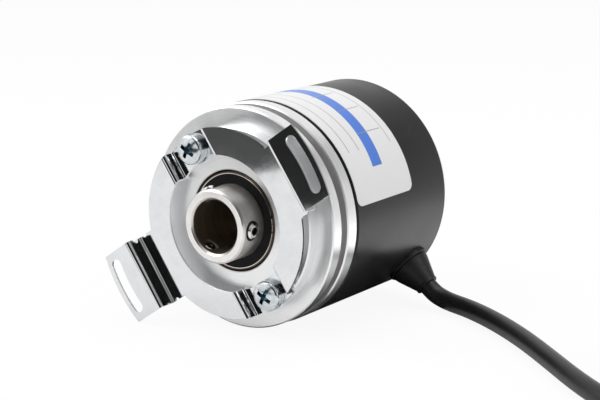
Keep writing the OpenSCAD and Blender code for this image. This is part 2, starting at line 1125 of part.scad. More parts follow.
// The stripped far end on the floor of the coil's hole: six wires that leave the jacket in two rows
// of three and spread into one row. Each station is x and y from the coil's centre, the height of
// the bundle's middle, and how far the wires have spread.
module cable_wires() {
    wire_r = 0.45;
    column = 1.2;
    row = 1.1;
    lay_pitch = 1.8;
    stations = [
        [-7, -15.5, 2.5, 0], [-4.5, -16.1, 2.3, 0.1], [-1.5, -16.4, 1.5, 0.4],
        [2.5, -15.9, 0.8, 0.75], [6.5, -14.5, wire_r, 1], [10.5, -12.2, wire_r, 1],
        [14, -9, wire_r, 1], [16.5, -5.5, wire_r, 1]
    ];
    middle = [for (s = stations) [s[0], s[1], s[2]]];
    for (i = [0:5]) {
        path = [
            for (j = [0:len(stations) - 1])
                let (
                    spread = stations[j][3],
                    side = unit(cross(along(middle, j), [0, 0, 1])),
                    out = (floor(i / 2) - 1) * column * (1 - spread) + (i - 2.5) * lay_pitch * spread
                )
                middle[j] + out * side + [0, 0, (i % 2 - 0.5) * row * (1 - spread)]
        ];
        color(["red", "saddlebrown", "green", "gold", "white", "gray"][i])
            at_coil()
                swept(path, wire_r, 8);
    }
}

// ---- what is drawn ----

flange();
stator_coupling();
coupling_screws();
coupling_spring_washers();
coupling_washers();
hollow_shaft();
shaft_set_screws();
front_bearing_outer_race();
front_bearing_inner_race();
front_bearing_balls();
front_bearing_cage();
front_bearing_seals();
rear_bearing_outer_race();
rear_bearing_inner_race();
rear_bearing_balls();
rear_bearing_cage();
rear_bearing_seals();
race_spacer();
preload_washer();
shaft_circlip();
disc_hub();
code_disc();
disc_clamp();
disc_screw();
lamp_holder();
lamp();
lamp_lens();
lamp_leads();
sensor_chip();
sensor_mask();
main_board();
driver_chip();
regulator_chip();
board_capacitors();
board_header();
header_plug();
signal_leads();
board_pillars();
cover_pillars();
cover();
cover_oring();
cover_screws();
label();
cable_gland();
cable_entry();
cable_crimp();
cable();
cable_coil();
cable_tie();
cable_wires();
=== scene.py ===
import json
import math

import bmesh
import bpy
from mathutils import Matrix, Vector


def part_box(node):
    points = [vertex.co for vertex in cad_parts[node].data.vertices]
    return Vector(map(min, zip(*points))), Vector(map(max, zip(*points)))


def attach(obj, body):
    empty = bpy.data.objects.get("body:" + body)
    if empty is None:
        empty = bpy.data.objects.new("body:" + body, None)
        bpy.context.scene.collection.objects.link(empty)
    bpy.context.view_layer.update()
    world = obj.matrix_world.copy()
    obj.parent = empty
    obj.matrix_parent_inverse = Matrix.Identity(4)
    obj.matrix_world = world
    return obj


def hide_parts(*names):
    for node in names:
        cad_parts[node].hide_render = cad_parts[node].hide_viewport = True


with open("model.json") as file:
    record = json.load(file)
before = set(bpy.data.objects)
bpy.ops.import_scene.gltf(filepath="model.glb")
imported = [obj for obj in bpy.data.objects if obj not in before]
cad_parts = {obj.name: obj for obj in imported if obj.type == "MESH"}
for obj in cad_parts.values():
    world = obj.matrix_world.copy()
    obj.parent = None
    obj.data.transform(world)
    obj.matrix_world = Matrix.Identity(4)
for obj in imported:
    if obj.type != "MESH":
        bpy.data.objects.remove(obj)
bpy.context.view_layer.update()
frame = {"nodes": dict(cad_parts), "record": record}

# Rotary encoder on a pale floor. The shaft axis runs along Y through the origin, with the mouth
# towards -Y. Everything is in metres, and MM turns millimetres into them.
MM = 0.001
NODES = frame["nodes"]
FLOOR_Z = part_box("cover")[0].z
BODY_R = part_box("cover")[1].x
ROLL = math.radians(35)
# Places that the materials follow, in millimetres and degrees. Y runs from the mouth to the back, and
# the lands are the edges of the bearings' rings that face the balls.
MOUTH_Y = -11
BORE_R = 7
SET_SCREW_Y = -7.6
SET_SCREW_R = 2
FIRST_SET_SCREW = -2
COLLAR_R = 9.5
GROOVE_FRONT_Y = 3.35
GROOVE_BACK_Y = 5.9
BEARING_SEAT_R = 13
OUTER_LAND_R = 11.9
INNER_LAND_R = 9.6
RING_R = 24.6
TAB_HALF = 9.6
TAB_FROM = 28.2
COUPLING_SCREW_R = 21
SCREW_HEAD_Y = -6.8
SCREW_DOME_R = 9

# ---- camera ----

CAMERA_AT = Vector((0.2504, -0.3214, 0.1013))
CAMERA_AZIMUTH = math.radians(35.81)
CAMERA_ELEVATION = math.radians(13.33)
LENS_MM = 98.97


def make_camera():
    data = bpy.data.cameras.new("camera")
    data.lens = LENS_MM
    data.sensor_width = 36
    data.clip_start = 0.01
    camera = bpy.data.objects.new("camera", data)
    camera.location = CAMERA_AT
    camera.rotation_euler = (math.pi / 2 - CAMERA_ELEVATION, 0, CAMERA_AZIMUTH)
    bpy.context.scene.collection.objects.link(camera)
    bpy.context.scene.camera = camera


make_camera()

# ---- mesh helpers ----


def add_object(name, data):
    piece = bpy.data.objects.new(name, data)
    bpy.context.scene.collection.objects.link(piece)
    return piece


def mesh_object(name, bm, smooth_angle=math.radians(35)):
    """An object from a bmesh, shaded smooth except across edges sharper than smooth_angle."""
    bmesh.ops.recalc_face_normals(bm, faces=bm.faces)
    mesh = bpy.data.meshes.new(name)
    for face in bm.faces:
        face.smooth = True
    bm.to_mesh(mesh)
    bm.free()
    mesh.set_sharp_from_angle(angle=smooth_angle)
    return add_object(name, mesh)


def ring_frames(path):
    """A direction, a side and an up vector at each point of a path, turning as little as it can."""
    frames = []
    side = None
    for i, point in enumerate(path):
        ahead = path[min(i + 1, len(path) - 1)] - path[max(i - 1, 0)]
        ahead.normalize()
        if side is None:
            side = ahead.cross(Vector((0, 0, 1)) if abs(ahead.z) < 0.9 else Vector((1, 0, 0)))
        side = (side - ahead * side.dot(ahead)).normalized()
        frames.append((point, side, side.cross(ahead)))
    return frames


def skin(bm, rings, slot=0):
    """Adds a closed body through rings of points, all with the same number of points."""
    loops = [[bm.verts.new(point) for point in ring] for ring in rings]
    faces = [bm.faces.new(loops[0]), bm.faces.new(reversed(loops[-1]))]
    for a, b in zip(loops, loops[1:]):
        for k in range(len(a)):
            n = (k + 1) % len(a)
            faces.append(bm.faces.new((a[k], a[n], b[n], b[k])))
    for face in faces:
        face.material_index = slot


def tube(bm, path, radii, sides, slot=0):
    """Adds a closed tube along a path. radii is one radius for each point."""
    rings = []
    for (point, side, up), radius in zip(ring_frames(path), radii):
        ring = []
        for k in range(sides):
            a = 2 * math.pi * k / sides
            ring.append(point + radius * (math.cos(a) * side + math.sin(a) * up))
        rings.append(ring)
    skin(bm, rings, slot)


def smoothstep(t):
    t = max(0.0, min(1.0, t))
    return t * t * (3 - 2 * t)


def catmull(points, steps):
    """A smooth path through the points, with this many steps between each two."""
    ends = [2 * points[0] - points[1], *points, 2 * points[-1] - points[-2]]
    path = []
    for a, b, c, d in zip(ends, ends[1:], ends[2:], ends[3:]):
        for k in range(steps):
            t = k / steps
            path.append(
                0.5 * (2 * b + (c - a) * t + (2 * a - 5 * b + 4 * c - d) * t**2
                       + (3 * b - a - 3 * c + d) * t**3)
            )
    return [*path, points[-1]]


# ---- cable ----

CABLE_D = 5 * MM
CABLE_SIDES = 18
GLAND_ANGLE = math.radians(-73.7) + ROLL
GLAND_TIP = 37.2 * MM
GLAND_Y = 44.1 * MM
CABLE_EXIT = Vector((GLAND_TIP * math.cos(GLAND_ANGLE), GLAND_Y, GLAND_TIP * math.sin(GLAND_ANGLE)))
ROUTE_MM = [
    (31.5, 44, -25), (34.5, 43.7, -26), (38, 43, -26.4), (43, 41.5, -26.5),
    (50, 38.2, -26.5), (58, 33.5, -26.5), (66, 28, -26.5), (74, 21.8, -26.5), (82, 15.2, -26.5),
    (90, 8.6, -26.5), (98, 2.6, -26.5), (106, -2.4, -26.5), (114, -6, -26.5),
]
# The tail in the coil's hole: x and y from the coil's centre, z from the floor
TAIL_MM = [
    (24, 2.1, 12.5), (20.3, 7.4, 12.5), (16.2, 11.3, 12.4), (12.2, 14.6, 12.2), (6.5, 17.9, 11.6),
    (0, 19, 10.4), (-6.5, 17.9, 8.7), (-12.2, 14.6, 6.8), (-16.5, 9.5, 5), (-18.7, 3.3, 3.6),
    (-18.7, -3.3, 2.7), (-16.4, -9.4, 2.5), (-11.8, -13.8, 2.5), (-7, -15.5, 2.5),
]
coil_low, coil_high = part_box("cable_coil")
COIL_CENTRE = Vector(((coil_low.x + coil_high.x) / 2, (coil_low.y + coil_high.y) / 2, FLOOR_Z))
COIL_LAYERS = 3
# Radius of each track of the coil, from the outer one inwards
TRACKS = [coil_high.x - COIL_CENTRE.x - CABLE_D * (0.5 + k) for k in range(3)]
# The winding, in degrees round the coil: its start, the step between two points, and how far a
# change of track, a climb to the next layer, the way in from the route and the last turn take
COIL_START = -90
COIL_STEP = 12
CHANGE = 55
CLIMB = 40
LEAD_IN = 31
LAST_TURN = 310
# The last turn leaves the middle track for the hole within HOLE_LEAD degrees. The winding holds its
# first points, at HOLE_RAMP, and the tail goes on. HOLE_POINT is the tail's point in mid hole.
HOLE_LEAD = 95
HOLE_RAMP = (0, 12, 24, 36)
HOLE_POINT = 5


def coil_moves():
    """The wound cable's changes of track and layer: (first turn angle, length, track, layer).

    A layer is wound from the outer track to the inner one, the next one outwards, and so on. The
    changes of each layer come a little before those of the layer below, so that no turn meets
    another. The last turn leaves for the hole from the middle track of the top layer."""
    outer, middle, inner = TRACKS
    turn = 360
    first = 285
    moves = [(first, CHANGE, middle, 0), (first + turn, CHANGE, inner, 0)]
    climb = first + 2 * turn - CLIMB
    moves.append((climb, CLIMB, inner, 1))
    second = climb + turn - CHANGE
    moves += [(second, CHANGE, middle, 1), (second + turn, CHANGE, outer, 1)]
    climb = second + 2 * turn - CLIMB
    moves.append((climb, CLIMB, outer, 2))
    third = climb + turn - CHANGE
    moves.append((third, CHANGE, middle, 2))
    return moves


def coil_point(angle, radius, height):
    turned = math.radians(COIL_START + angle)
    flat = Vector((math.cos(turned), math.sin(turned), 0)) * radius
    return COIL_CENTRE + flat + Vector((0, 0, height))


def coil_path():
    moves = coil_moves()
    leave = moves[-1][0] + LAST_TURN
    path = []
    angle = 0
    while angle < leave:
        radius, layer = TRACKS[0], 0
        for first, length, track, level in moves:
            share = smoothstep((angle - first) / length)
            radius += (track - radius) * share
            layer += (level - layer) * share
        path.append(coil_point(angle, radius, CABLE_D * (layer + 0.5)))
        angle += COIL_STEP
    hole_r = Vector(TAIL_MM[HOLE_POINT][:2]).length * MM
    for ahead in HOLE_RAMP:
        radius = TRACKS[1] + (hole_r - TRACKS[1]) * smoothstep(ahead / HOLE_LEAD)
        path.append(coil_point(leave + ahead, radius, CABLE_D * (COIL_LAYERS - 0.5)))
    return path


def cable_path():
    route = [CABLE_EXIT] + [Vector(p) * MM for p in ROUTE_MM]
    route_end_r = (route[-1] - COIL_CENTRE).to_2d().length
    joining = [
        coil_point(a, TRACKS[0] + (route_end_r - TRACKS[0]) * smoothstep(-a / LEAD_IN), CABLE_D / 2)
        for a in (-20, -10)
    ]
    tail = [COIL_CENTRE + Vector(p) * MM for p in TAIL_MM]
    return route + joining + coil_path() + tail


CABLE_LINE = catmull(cable_path(), 3)


def make_cable():
    bm = bmesh.new()
    tube(bm, CABLE_LINE, [CABLE_D / 2] * len(CABLE_LINE), CABLE_SIDES)
    return mesh_object("cable_jacket", bm)


cable = make_cable()

# ---- stripped leads at the cable's far end ----

LEADS = 6
LEAD_SIDES = 12
LEAD_R = 0.45 * MM
STRAND_SIDES = 10
STRAND_R = 0.26 * MM
# Distances between the leads: three abreast and two deep where they leave the jacket, and side by
# side once they have spread
LEAD_COLUMN = 1.2 * MM
LEAD_ROW = 1.1 * MM
LEAD_PITCH = 1.8 * MM
# x and y from the coil's centre, height above the floor, and how far the leads have spread
LEAD_STATIONS_MM = [
    (-7, -15.5, 2.5, 0), (-4.5, -16.1, 2.3, 0.1), (-1.5, -16.4, 1.5, 0.4), (2.5, -15.9, 0.8, 0.75),
    (6.5, -14.5, 0.45, 1), (10.5, -12.2, 0.45, 1), (14, -9, 0.45, 1), (16.5, -5.5, 0.45, 1),
]


def lead_path(i):
    middle = [Vector(s[:3]) * MM for s in LEAD_STATIONS_MM]
    path = []
    for j, station in enumerate(LEAD_STATIONS_MM):
        spread = station[3]
        ahead = middle[min(j + 1, len(middle) - 1)] - middle[max(j - 1, 0)]
        side = ahead.cross(Vector((0, 0, 1))).normalized()
        out = (i // 2 - 1) * LEAD_COLUMN * (1 - spread) + (i - (LEADS - 1) / 2) * LEAD_PITCH * spread
        up = Vector((0, 0, (i % 2 - 0.5) * LEAD_ROW * (1 - spread)))
        path.append(COIL_CENTRE + middle[j] + out * side + up)
    return catmull(path, 4)


def make_leads():
    """Insulated wires whose last few millimetres are bare, twisted and tinned."""
    bm = bmesh.new()
    bare_points = 6
    for i in range(LEADS):
        path = lead_path(i)
        tube(bm, path[:-bare_points], [LEAD_R] * (len(path) - bare_points), LEAD_SIDES, i)
        tip = path[-bare_points - 1:]
        tube(bm, tip, [STRAND_R] * (len(tip) - 1) + [STRAND_R * 0.7], STRAND_SIDES, LEADS)
    return mesh_object("cable_end_leads", bm)


leads = make_leads()

# ---- cable tie ----

TIE_ANGLE = math.radians(150)
TIE_W = 3.6 * MM
STRAP = 0.8 * MM
TIE_HEAD = Vector((5.2, 4.8, 3.4)) * MM
TIE_HEAD_CORNER = 0.8 * MM
# The cut end of the strap that comes out of the head: its length, height over the coil and teeth
TIE_END = 4 * MM
TIE_END_Z = 1.5 * MM
TOOTH = 0.5 * MM
TOOTH_H = 0.2 * MM


def tie_section():
    """The strap's line round the coil's section: x across the turns and z up, with round corners."""
    half = (coil_high.x - COIL_CENTRE.x - TRACKS[-1]) / 2 + CABLE_D / 4
    top = coil_high.z - FLOOR_Z
    corner = CABLE_D * 0.45
    steps = 6
    centres = [(half - corner, corner, -90), (half - corner, top - corner, 0),
               (corner - half, top - corner, 90), (corner - half, corner, 180)]
    line = []
    for x, z, start in centres:
        for k in range(steps + 1):
            a = math.radians(start + 90 * k / steps)
            line.append((x, z, math.cos(a), math.sin(a), corner))
    return line


def tie_head_rings(floor):
    """Level outlines of the tie's head, from the coil's top up: round corners, and a softened top."""
    rings = []
    steps = 4
    # Each level's height as a share of the head's, and how far in its outline lies, in millimetres
    for share, inset in ((0, 0), (0.82, 0), (0.95, 0.12), (1, 0.3)):
        half = TIE_HEAD / 2 - Vector((inset, inset, 0)) * MM
        height = floor + share * TIE_HEAD.z
        ring = []
        for quarter in range(4):
            x = (half.x - TIE_HEAD_CORNER) * (1 if quarter in (0, 3) else -1)
            y = (half.y - TIE_HEAD_CORNER) * (1 if quarter in (0, 1) else -1)
            for k in range(steps + 1):
                a = math.radians(90 * quarter + 90 * k / steps)
                ring.append(Vector((x + TIE_HEAD_CORNER * math.cos(a),
                                    y + TIE_HEAD_CORNER * math.sin(a), height)))
        rings.append(ring)
    return rings


def tie_end_rings(floor):
    """Outlines across the strap's cut end, from inside the head outwards, with teeth on its top."""
    count = round((TIE_HEAD.x / 2 + TIE_END) / TOOTH)
    low = floor + TIE_END_Z
    half = TIE_W / 2
    rings = []
    for k in range(count + 1):
        high = low + STRAP - TOOTH_H * (k % 2)
        section = ((-half, low), (half, low), (half, high), (-half, high))
        rings.append([Vector((TOOTH * k, y, z)) for y, z in section])
    return rings


def make_tie():
    bm = bmesh.new()
    rings = []
    for x, z, across, up, corner in tie_section():
        ring = []
        for r, side in ((corner, -1), (corner, 1), (corner + STRAP, 1), (corner + STRAP, -1)):
            ring.append(bm.verts.new((x + across * r, side * TIE_W / 2, max(0.0, z + up * r))))
        rings.append(ring)
    for a, b in zip(rings, rings[1:] + rings[:1]):
        for k in range(4):
            n = (k + 1) % 4
            bm.faces.new((a[k], a[n], b[n], b[k]))
    coil_top = coil_high.z - FLOOR_Z
    skin(bm, tie_head_rings(coil_top))
    skin(bm, tie_end_rings(coil_top))
    to_coil = Matrix.Translation(COIL_CENTRE) @ Matrix.Rotation(TIE_ANGLE, 4, "Z")
    to_turns = Matrix.Translation(((TRACKS[0] + TRACKS[-1]) / 2, 0, 0))
    bm.transform(to_coil @ to_turns)
    return mesh_object("cable_tie_strap", bm)


tie = make_tie()

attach(cable, "housing")
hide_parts("cable", "cable_coil")
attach(leads, "housing")
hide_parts("cable_wires")
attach(tie, "housing")
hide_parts("cable_tie")

# ---- label: a rounded film with a blank form printed on it ----

LABEL_FRONT = 10.8 * MM
LABEL_BACK = 36 * MM
LABEL_FROM = math.radians(-25.5) + ROLL
LABEL_SPAN = math.radians(120.5)
LABEL_R = BODY_R + 0.02 * MM
LABEL_T = 0.15 * MM
LABEL_CORNER = 2 * MM
LABEL_COLUMNS = 96


def label_inset(y):
    """How far the rounded corners pull the label's ends in at a place along the shaft."""
    reach = max(LABEL_FRONT + LABEL_CORNER - y, y - (LABEL_BACK - LABEL_CORNER), 0)
    return LABEL_CORNER - math.sqrt(max(LABEL_CORNER**2 - reach**2, 0))


def label_rows():
    """Places along the shaft, closer together in the rounded corners."""
    rows = 10
    pitch = 2.12 * MM
    curve = [LABEL_CORNER * (1 - math.cos(math.radians(10 * k))) for k in range(rows)]
    middle = [LABEL_FRONT + LABEL_CORNER + pitch * k for k in range(1, rows)]
    return [LABEL_FRONT + c for c in curve] + middle + [LABEL_BACK - c for c in reversed(curve)]


def make_label():
    bm = bmesh.new()
    grids = []
    for radius in (LABEL_R, LABEL_R + LABEL_T):
        grid = []
        for y in label_rows():
            inset = label_inset(y) / BODY_R
            row = []
            for k in range(LABEL_COLUMNS + 1):
                a = LABEL_FROM + inset + (LABEL_SPAN - 2 * inset) * k / LABEL_COLUMNS
                row.append(bm.verts.new((radius * math.cos(a), y, radius * math.sin(a))))
            grid.append(row)
        grids.append(grid)
        for lower, upper in zip(grid, grid[1:]):
            for k in range(LABEL_COLUMNS):
                bm.faces.new((lower[k], lower[k + 1], upper[k + 1], upper[k]))
    rims = []
    for grid in grids:
        ends = [row[-1] for row in grid[1:-1]]
        starts = [row[0] for row in reversed(grid[1:-1])]
        rims.append(grid[0] + ends + list(reversed(grid[-1])) + starts)
    inner, outer = rims
    for k in range(len(inner)):
        n = (k + 1) % len(inner)
        bm.faces.new((inner[k], inner[n], outer[n], outer[k]))
    return mesh_object("label_film", bm)


label = make_label()

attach(label, "housing")
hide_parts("label")

# ---- stage ----

FLOOR_SIZE = 3
# The floor lies a little under the encoder, and the cards a little over the floor
FLOOR_GAP = 0.05 * MM
CARD_Z = FLOOR_Z + 0.3 * MM


def make_floor():
    bm = bmesh.new()
    bmesh.ops.create_grid(bm, x_segments=1, y_segments=1, size=FLOOR_SIZE)
    floor = mesh_object("floor", bm)
    floor.location.z = FLOOR_Z - FLOOR_GAP
    return floor


floor = make_floor()


def area_light(name, place, aim, size, power):
    data = bpy.data.lights.new(name, "AREA")
    data.energy = power
    data.shape = "SQUARE"
    data.size = size
    lamp = add_object(name, data)
    lamp.location = place
    lamp.rotation_euler = (Vector(aim) - Vector(place)).to_track_quat("-Z", "Y").to_euler()
    return lamp


def flag(name, outline):
    """A flat card on the floor that only mirror-like surfaces see, as a studio's cards give metal its
    darks and lights. The outline is x and y of its corners."""
    bm = bmesh.new()
    bm.faces.new([bm.verts.new((x, y, CARD_Z)) for x, y in outline])
    card = mesh_object(name, bm)
    card.visible_camera = False
    card.visible_diffuse = False
    card.visible_shadow = False
    card.visible_transmission = False
    return card


# The paper sweep ends in front of the encoder, and the room beyond it is dark
SWEEP_END = [
    (-0.03, -0.166), (-0.105, -0.184), (-0.109, -0.159), (-0.121, -0.167), (-0.146, -0.172),
    (-0.26, -0.2), (-2.9, -1.3), (-2.9, -2.9), (1.6, -2.9), (0.02, -0.3),
]
# A grey card stands for the encoder's own shade on the paper, under its right side
SHADE = [(-0.03, 0), (0.026, 0), (0.037, 0.033), (0.034, 0.046), (0.02, 0.057), (-0.03, 0.066)]
# A white card lies on the paper behind that shade
CARD = [(0.038, 0.052), (0.1, 0.052), (0.1, 0.16), (0.028, 0.16), (0.028, 0.064)]
dark_room = flag("dark_room", SWEEP_END)
floor_shade = flag("floor_shade", SHADE)
white_card = flag("white_card", CARD)

BODY_MIDDLE = (0, 0.02, 0)
area_light("key_light", (-0.55, -0.35, 0.6), BODY_MIDDLE, 0.6, 3.4)
area_light("top_light", (0.1, 0.2, 0.9), BODY_MIDDLE, 0.8, 4.6)
area_light("side_light", (0.75, 0.15, 0.35), BODY_MIDDLE, 0.5, 1.8)

# ---- shader helper ----


class Shader:
    """A Principled material, with short calls that add the nodes feeding it. Lengths are in mm."""

    def __init__(self, name, constants):
        self.material = bpy.data.materials.new(name)
        self.material.use_nodes = True
        self.tree = self.material.node_tree
        self.surface = self.tree.nodes["Principled BSDF"]
        for socket, value in constants.items():
            self.surface.inputs[socket].default_value = value
        coordinates = self.tree.nodes.new("ShaderNodeTexCoord")
        self.place = self.vector("MULTIPLY", coordinates.outputs["Object"], (1 / MM, 1 / MM, 1 / MM))

    def feed(self, socket, value):
        if isinstance(value, bpy.types.NodeSocket):
            self.tree.links.new(value, socket)
        elif hasattr(socket.default_value, "__len__") and len(socket.default_value) > len(value):
            socket.default_value = (*value, 1)
        else:
            socket.default_value = value

    def vector(self, operation, a, b):
        node = self.tree.nodes.new("ShaderNodeVectorMath")
        node.operation = operation
        self.feed(node.inputs[0], a)
        self.feed(node.inputs[1], b)
        return node.outputs["Value" if operation == "LENGTH" else "Vector"]

    def math(self, operation, a, b=0.0):
        node = self.tree.nodes.new("ShaderNodeMath")
        node.operation = operation
        self.feed(node.inputs[0], a)
        self.feed(node.inputs[1], b)
        return node.outputs["Value"]

    def split(self, vector=None):
        node = self.tree.nodes.new("ShaderNodeSeparateXYZ")
        self.feed(node.inputs[0], vector or self.place)
        return node.outputs

    def join(self, x, y, z):
        node = self.tree.nodes.new("ShaderNodeCombineXYZ")
        for socket, value in zip(node.inputs, (x, y, z)):
            self.feed(socket, value)
        return node.outputs["Vector"]

    def span(self, value, low, high, out_low=0.0, out_high=1.0, smooth=True):
        """Carries low..high to out_low..out_high, and holds the ends beyond them."""
        node = self.tree.nodes.new("ShaderNodeMapRange")
        node.interpolation_type = "SMOOTHSTEP" if smooth else "LINEAR"
        for socket, number in zip(("Value", "From Min", "From Max", "To Min", "To Max"),
                                  (value, low, high, out_low, out_high)):
            self.feed(node.inputs[socket], number)
        return node.outputs["Result"]

    def noise(self, vector, scale, detail=2.0, roughness=0.5):
        node = self.tree.nodes.new("ShaderNodeTexNoise")
        self.feed(node.inputs["Vector"], vector)
        node.inputs["Scale"].default_value = scale
        node.inputs["Detail"].default_value = detail
        node.inputs["Roughness"].default_value = roughness
        return node.outputs["Fac"]

    def cells(self, vector, scale, feature="F1"):
        node = self.tree.nodes.new("ShaderNodeTexVoronoi")
        node.feature = feature
        self.feed(node.inputs["Vector"], vector)
        node.inputs["Scale"].default_value = scale
        return node.outputs["Distance"]

    def mix(self, share, a, b):
        node = self.tree.nodes.new("ShaderNodeMix")
        node.data_type = "RGBA"
        self.feed(node.inputs["Factor"], share)
        self.feed(node.inputs[6], a)
        self.feed(node.inputs[7], b)
        return node.outputs[2]

    def shades(self, share, *colours):
        """A colour picked along the list by a share from 0 to 1, blended between neighbours."""
        node = self.tree.nodes.new("ShaderNodeValToRGB")
        stops = node.color_ramp.elements
        while len(stops) < len(colours):
            stops.new(0.5)
        for k, colour in enumerate(colours):
            stops[k].position = k / (len(colours) - 1)
            stops[k].color = (*colour, 1)
        self.feed(node.inputs["Fac"], share)
        return node.outputs["Color"]

    def relief(self, height, depth, strength=1.0, under=None):
        """Bumps of a depth in millimetres."""
        node = self.tree.nodes.new("ShaderNodeBump")
        node.inputs["Strength"].default_value = strength
        node.inputs["Distance"].default_value = depth * MM
        self.feed(node.inputs["Height"], height)
        if under:
            self.feed(node.inputs["Normal"], under)
        return node.outputs["Normal"]

    def radius(self):
        """Distance from the shaft's axis."""
        x, _, z = self.split()
        squares = self.math("ADD", self.math("MULTIPLY", x, x), self.math("MULTIPLY", z, z))
        return self.math("SQRT", squares)

    def angle(self):
        """Angle round the shaft's axis in degrees, from +X towards +Z."""
        x, _, z = self.split()
        return self.math("DEGREES", self.math("ARCTAN2", z, x))

    def rolled(self):
        """X and Z turned to lie along and across the coupling's tabs, and Y."""
        x, y, z = self.split()
        c = math.cos(ROLL)
        s = math.sin(ROLL)
        along = self.math("ADD", self.math("MULTIPLY", x, c), self.math("MULTIPLY", z, s))
        across = self.math("SUBTRACT", self.math("MULTIPLY", z, c), self.math("MULTIPLY", x, s))
        return along, y, across

    def off_set_screw(self):
        """Distance from the axis of the nearest of the shaft's three set screws."""
        third = 120.0
        turn = self.math("ADD", self.angle(), 360.0 + third / 2 - FIRST_SET_SCREW)
        turn = self.math("SUBTRACT", self.math("MODULO", turn, third), third / 2)
        turn = self.math("RADIANS", turn)
        beside = self.math("MULTIPLY", self.radius(), self.math("SINE", turn))
        behind = self.math("SUBTRACT", self.split()["Y"], SET_SCREW_Y)
        return self.vector("LENGTH", self.join(beside, behind, 0.0), (0, 0, 0))

    def turned(self):
        """A point of the lathe's section, so that noise on it makes rings round the axis."""
        return self.join(self.radius(), self.split()["Y"], 0.0)

    def round_grain(self):
        """Points the shader's grain round the shaft's axis."""
        node = self.tree.nodes.new("ShaderNodeTangent")
        node.direction_type = "RADIAL"
        node.axis = "Y"
        self.feed(self.surface.inputs["Tangent"], node.outputs["Tangent"])

    def set(self, **sockets):
        for name, value in sockets.items():
            self.feed(self.surface.inputs[name.replace("_", " ")], value)
        return self.material


# ---- materials of the record, one function for each kind ----


def grey(value, warm=0.0):
    """A grey, warmer when warm is positive and bluer when it is negative."""
    return (value * (1 + warm), value, value * (1 - warm))


def turned_aluminium():
    """Bright turned flange, with painted grey shade at the bottom of the servo groove, and painted brown
    shade in the bearings' seat."""
    m = Shader("turned_aluminium", {"Metallic": 1.0, "Anisotropic": 0.45, "Anisotropic Rotation": 0.25})
    m.round_grain()
    rings = m.noise(m.turned(), 2.2, 4.0, 0.6)
    fine = m.noise(m.turned(), 11.0, 2.0)
    patches = m.noise(m.place, 0.12, 3.0)
    tone = m.math("ADD", m.math("MULTIPLY", rings, 0.6), m.math("MULTIPLY", patches, 0.4))
    colour = m.mix(m.span(tone, 0.3, 0.7), grey(0.85, -0.004), grey(0.91, -0.004))
    soft = 0.1
    y = m.split()["Y"]
    # Painted shade: the bottom of the servo groove is made grey, unevenly.
    in_groove = m.math("MULTIPLY", m.span(y, GROOVE_FRONT_Y - soft, GROOVE_FRONT_Y + soft),
                       m.span(y, GROOVE_BACK_Y - soft, GROOVE_BACK_Y + soft, 1.0, 0.0))
    groove_shade = m.math("MULTIPLY", in_groove, m.span(patches, 0.3, 0.7, 0.75, 0.95))
    colour = m.mix(groove_shade, colour, grey(0.43, 0.025))
    # Painted shade: brown inside the bearings' seat and on its edge.
    seat_shade = m.span(m.radius(), BEARING_SEAT_R + 0.1, BEARING_SEAT_R + 0.2, 1.0, 0.0)
    colour = m.mix(seat_shade, colour, (0.09, 0.07, 0.055))
    shine = m.span(m.math("ADD", rings, patches), 0.7, 1.3, 0.29, 0.376)
    cuts = m.relief(m.math("ADD", rings, m.math("MULTIPLY", fine, 0.5)), 0.0016, 0.4)
    return m.set(Base_Color=colour, Roughness=shine, Normal=cuts)


def bearing_steel():
    """Ground steel. The inner rings are painted dark grey beside the seals, a painted shade, and the
    outer ones carry painted brown shade but for a painted highlight, a lighter line at their inner edge."""
    m = Shader("bearing_steel", {"Metallic": 1.0, "Anisotropic": 0.4, "Anisotropic Rotation": 0.25})
    m.round_grain()
    rings = m.noise(m.turned(), 4.0, 4.0, 0.6)
    # Painted shade: the inner rings are made dark grey, and rougher, beside the seals.
    inner_ring_shade = m.span(m.radius(), INNER_LAND_R + 0.7, INNER_LAND_R + 1.0, 1.0, 0.0)
    colour = m.mix(m.span(rings, 0.3, 0.7), grey(0.6), grey(0.72))
    colour = m.mix(inner_ring_shade, colour, grey(0.06))
    # Painted highlight: a lighter line at the outer rings' inner edge.
    line = m.span(m.radius(), OUTER_LAND_R - 0.1, OUTER_LAND_R)
    colour = m.mix(line, colour, grey(0.72, 0.05))
    # Painted shade: the outer rings are made brown beyond that line.
    outer_ring_shade = m.span(m.radius(), OUTER_LAND_R + 0.35, OUTER_LAND_R + 0.45)
    colour = m.mix(outer_ring_shade, colour, (0.075, 0.06, 0.048))
    shine = m.math("ADD", m.span(rings, 0.3, 0.7, 0.11, 0.15), m.math("MULTIPLY", inner_ring_shade, 0.25))
    return m.set(Base_Color=colour, Roughness=shine, Normal=m.relief(rings, 0.0016, 0.4))


